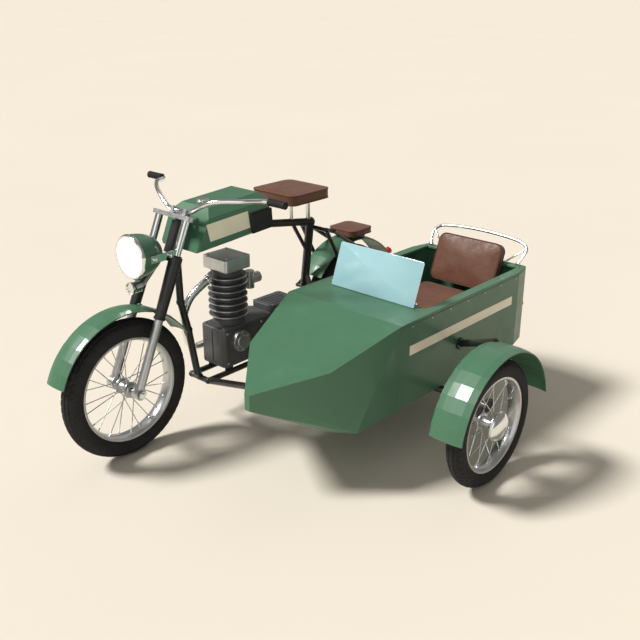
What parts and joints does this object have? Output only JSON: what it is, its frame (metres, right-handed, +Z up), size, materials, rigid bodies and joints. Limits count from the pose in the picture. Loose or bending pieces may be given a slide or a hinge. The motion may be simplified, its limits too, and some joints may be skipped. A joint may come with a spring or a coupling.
{
  "type": "sidecar motorcycle",
  "caption": "Motorcycle with a boat-nosed open sidecar on its left side, steered front fork, spoked wheels, leather seats, windscreen and chrome grab rail.",
  "frame": {"origin": "on the ground, under the middle of the whole outfit's box", "axes": "+X forward, +Y to the sidecar on the left, +Z up"},
  "size_m": [2.2544, 1.89, 1.145],
  "materials": {
    "tyre": "matt black",
    "wheel_metal": "satin",
    "steel": "satin",
    "fork_alloy": "satin",
    "chrome": "polished",
    "black_paint": "semi-gloss",
    "green_paint": "gloss",
    "cream_paint": "gloss",
    "engine_case": "satin",
    "head_alloy": "satin",
    "leather": "satin",
    "rubber": "matt",
    "seat_box": "matt",
    "lamp_glass": "frosted glass",
    "red_lamp": "gloss",
    "screen_glass": "clear"
  },
  "bodies": {
    "chassis": {"frame": "black_paint", "rear_stays": "black_paint", "rear_axle": "steel", "crankcase": "engine_case", "gearbox": "engine_case", "cylinder_barrel": "engine_case", "cylinder_head": "head_alloy", "timing_cover": "head_alloy", "carburettor": "head_alloy", "exhaust_pipe": "chrome", "silencer": "chrome", "chain_case": "green_paint", "footrests": "black_paint", "fuel_tank": "green_paint", "fuel_cap": "chrome", "cream_panels": "cream_paint", "knee_pads": "rubber", "saddle": "leather", "saddle_posts": "steel", "pillion_pad": "leather", "pillion_bracket": "black_paint", "rear_mudguard": "green_paint", "tail_lamps": "red_lamp", "sidecar_chassis": "black_paint", "sidecar_axle": "steel", "sidecar_mudguard": "green_paint", "body_floor": "green_paint", "body_nose": "green_paint", "body_sides": "green_paint", "body_rear": "green_paint", "body_deck": "green_paint", "seat_base": "seat_box", "seat_cushion": "leather", "seat_back": "leather", "windscreen": "screen_glass", "screen_bar": "chrome", "grab_rail": "chrome"},
    "fork": {"front_axle": "steel", "fork_sliders": "fork_alloy", "fork_covers": "black_paint", "fork_tubes": "chrome", "steering_stem": "black_paint", "top_yoke": "fork_alloy", "handlebar": "chrome", "grips": "rubber", "headlamp_shell": "green_paint", "headlamp_rim": "chrome", "headlamp_lens": "lamp_glass", "headlamp_ears": "chrome", "horn": "chrome", "front_mudguard": "green_paint"},
    "front_wheel": {"front_tyre": "tyre", "front_wheel": "wheel_metal"},
    "rear_wheel": {"rear_tyre": "tyre", "rear_wheel": "wheel_metal"},
    "sidecar_wheel": {"sidecar_tyre": "tyre", "sidecar_wheel": "wheel_metal"}
  },
  "joints": [
    {"name": "steering", "type": "hinge", "parent": "chassis", "child": "fork", "pos_m": [0.74098, -0.478, 0.30976], "axis": [-0.4067, 0, 0.9135], "range_deg": [-28, 28]},
    {"name": "front_wheel_spin", "type": "hinge", "parent": "fork", "child": "front_wheel", "pos_m": [0.77295, -0.478, 0.324], "axis": [0, 1, 0], "continuous": true},
    {"name": "rear_wheel_spin", "type": "hinge", "parent": "chassis", "child": "rear_wheel", "pos_m": [-0.73705, -0.478, 0.324], "axis": [0, 1, 0], "continuous": true},
    {"name": "sidecar_wheel_spin", "type": "hinge", "parent": "chassis", "child": "sidecar_wheel", "pos_m": [-0.09505, 0.863, 0.284], "axis": [0, 1, 0], "continuous": true}
  ]
}
